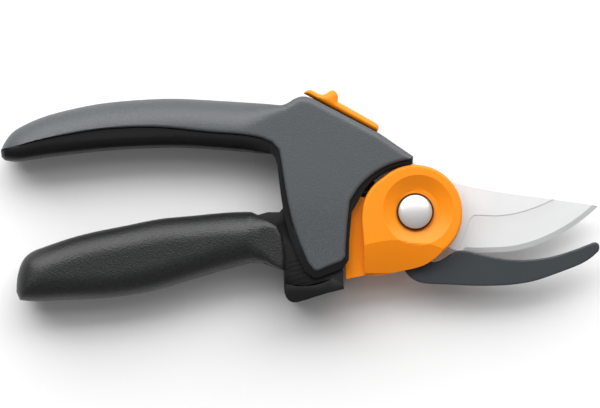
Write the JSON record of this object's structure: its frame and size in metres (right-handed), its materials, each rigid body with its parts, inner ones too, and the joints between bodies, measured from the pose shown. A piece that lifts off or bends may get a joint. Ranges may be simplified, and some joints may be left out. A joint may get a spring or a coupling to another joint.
{
  "type": "bypass pruner",
  "caption": "One-hand bypass pruner with a geared lower handle, a sliding lock, a curved blade and a coated hook, lying flat.",
  "frame": {"origin": "on the main pivot's axis, in the flat rear face of its nut", "axes": "+X from the pivot towards the blade's tip, +Y from the lower handle towards the upper one, +Z out of the rest plane; the tool lies on its rear side"},
  "size_m": [0.2197, 0.0777, 0.025],
  "materials": {
    "black_nylon": "matt glass-filled nylon",
    "grey_nylon": "fine-grained matt nylon",
    "soft_grip": "grained soft overmould",
    "orange_nylon": "satin nylon",
    "ground_steel": "fine ground",
    "coated_steel": "satin non-stick coating",
    "rivet_steel": "tumbled",
    "plain_steel": "zinc plated",
    "spring_steel": "oiled wire",
    "bronze": "sintered, oil filled"
  },
  "bodies": {
    "upper_handle": {"upper_frame": "black_nylon", "upper_cover_front": "grey_nylon", "upper_cover_rear": "grey_nylon", "cutting_blade": "ground_steel", "blade_rivets": "plain_steel", "pivot_bolt": "rivet_steel", "pivot_nut": "plain_steel", "pivot_washers": "plain_steel", "pivot_bush": "bronze", "handle_pin": "plain_steel", "cover_screws": "plain_steel", "return_spring": "spring_steel"},
    "hook": {"gear_housing_front": "orange_nylon", "gear_housing_rear": "orange_nylon", "counter_blade": "coated_steel", "housing_dowels": "plain_steel"},
    "lower_handle": {"lower_handle_core": "black_nylon", "lower_grip": "soft_grip", "handle_bush": "bronze"},
    "lock": {"lock_slider": "orange_nylon", "lock_plate": "plain_steel"}
  },
  "joints": [
    {"name": "lower_handle_hinge", "type": "hinge", "parent": "upper_handle", "child": "lower_handle", "pos_m": [-0.04096, -0.00605, 0.0126], "axis": [0, 0, 1], "range_deg": [-17, 12], "stiffness_Nm_per_rad": 1.5, "deforming": ["return_spring"]},
    {"name": "hook_hinge", "type": "hinge", "parent": "upper_handle", "child": "hook", "pos_m": [0, 0, 0.0126], "axis": [0, 0, 1], "range_deg": [-8.57, 12.14]},
    {"name": "lock_slide", "type": "slide", "parent": "upper_handle", "child": "lock", "axis": [0.8854, -0.4648, 0], "range_m": [0, 0.008]}
  ],
  "couplings": [
    {"joint": "hook_hinge", "follows": "lower_handle_hinge", "ratio": -0.71429}
  ]
}
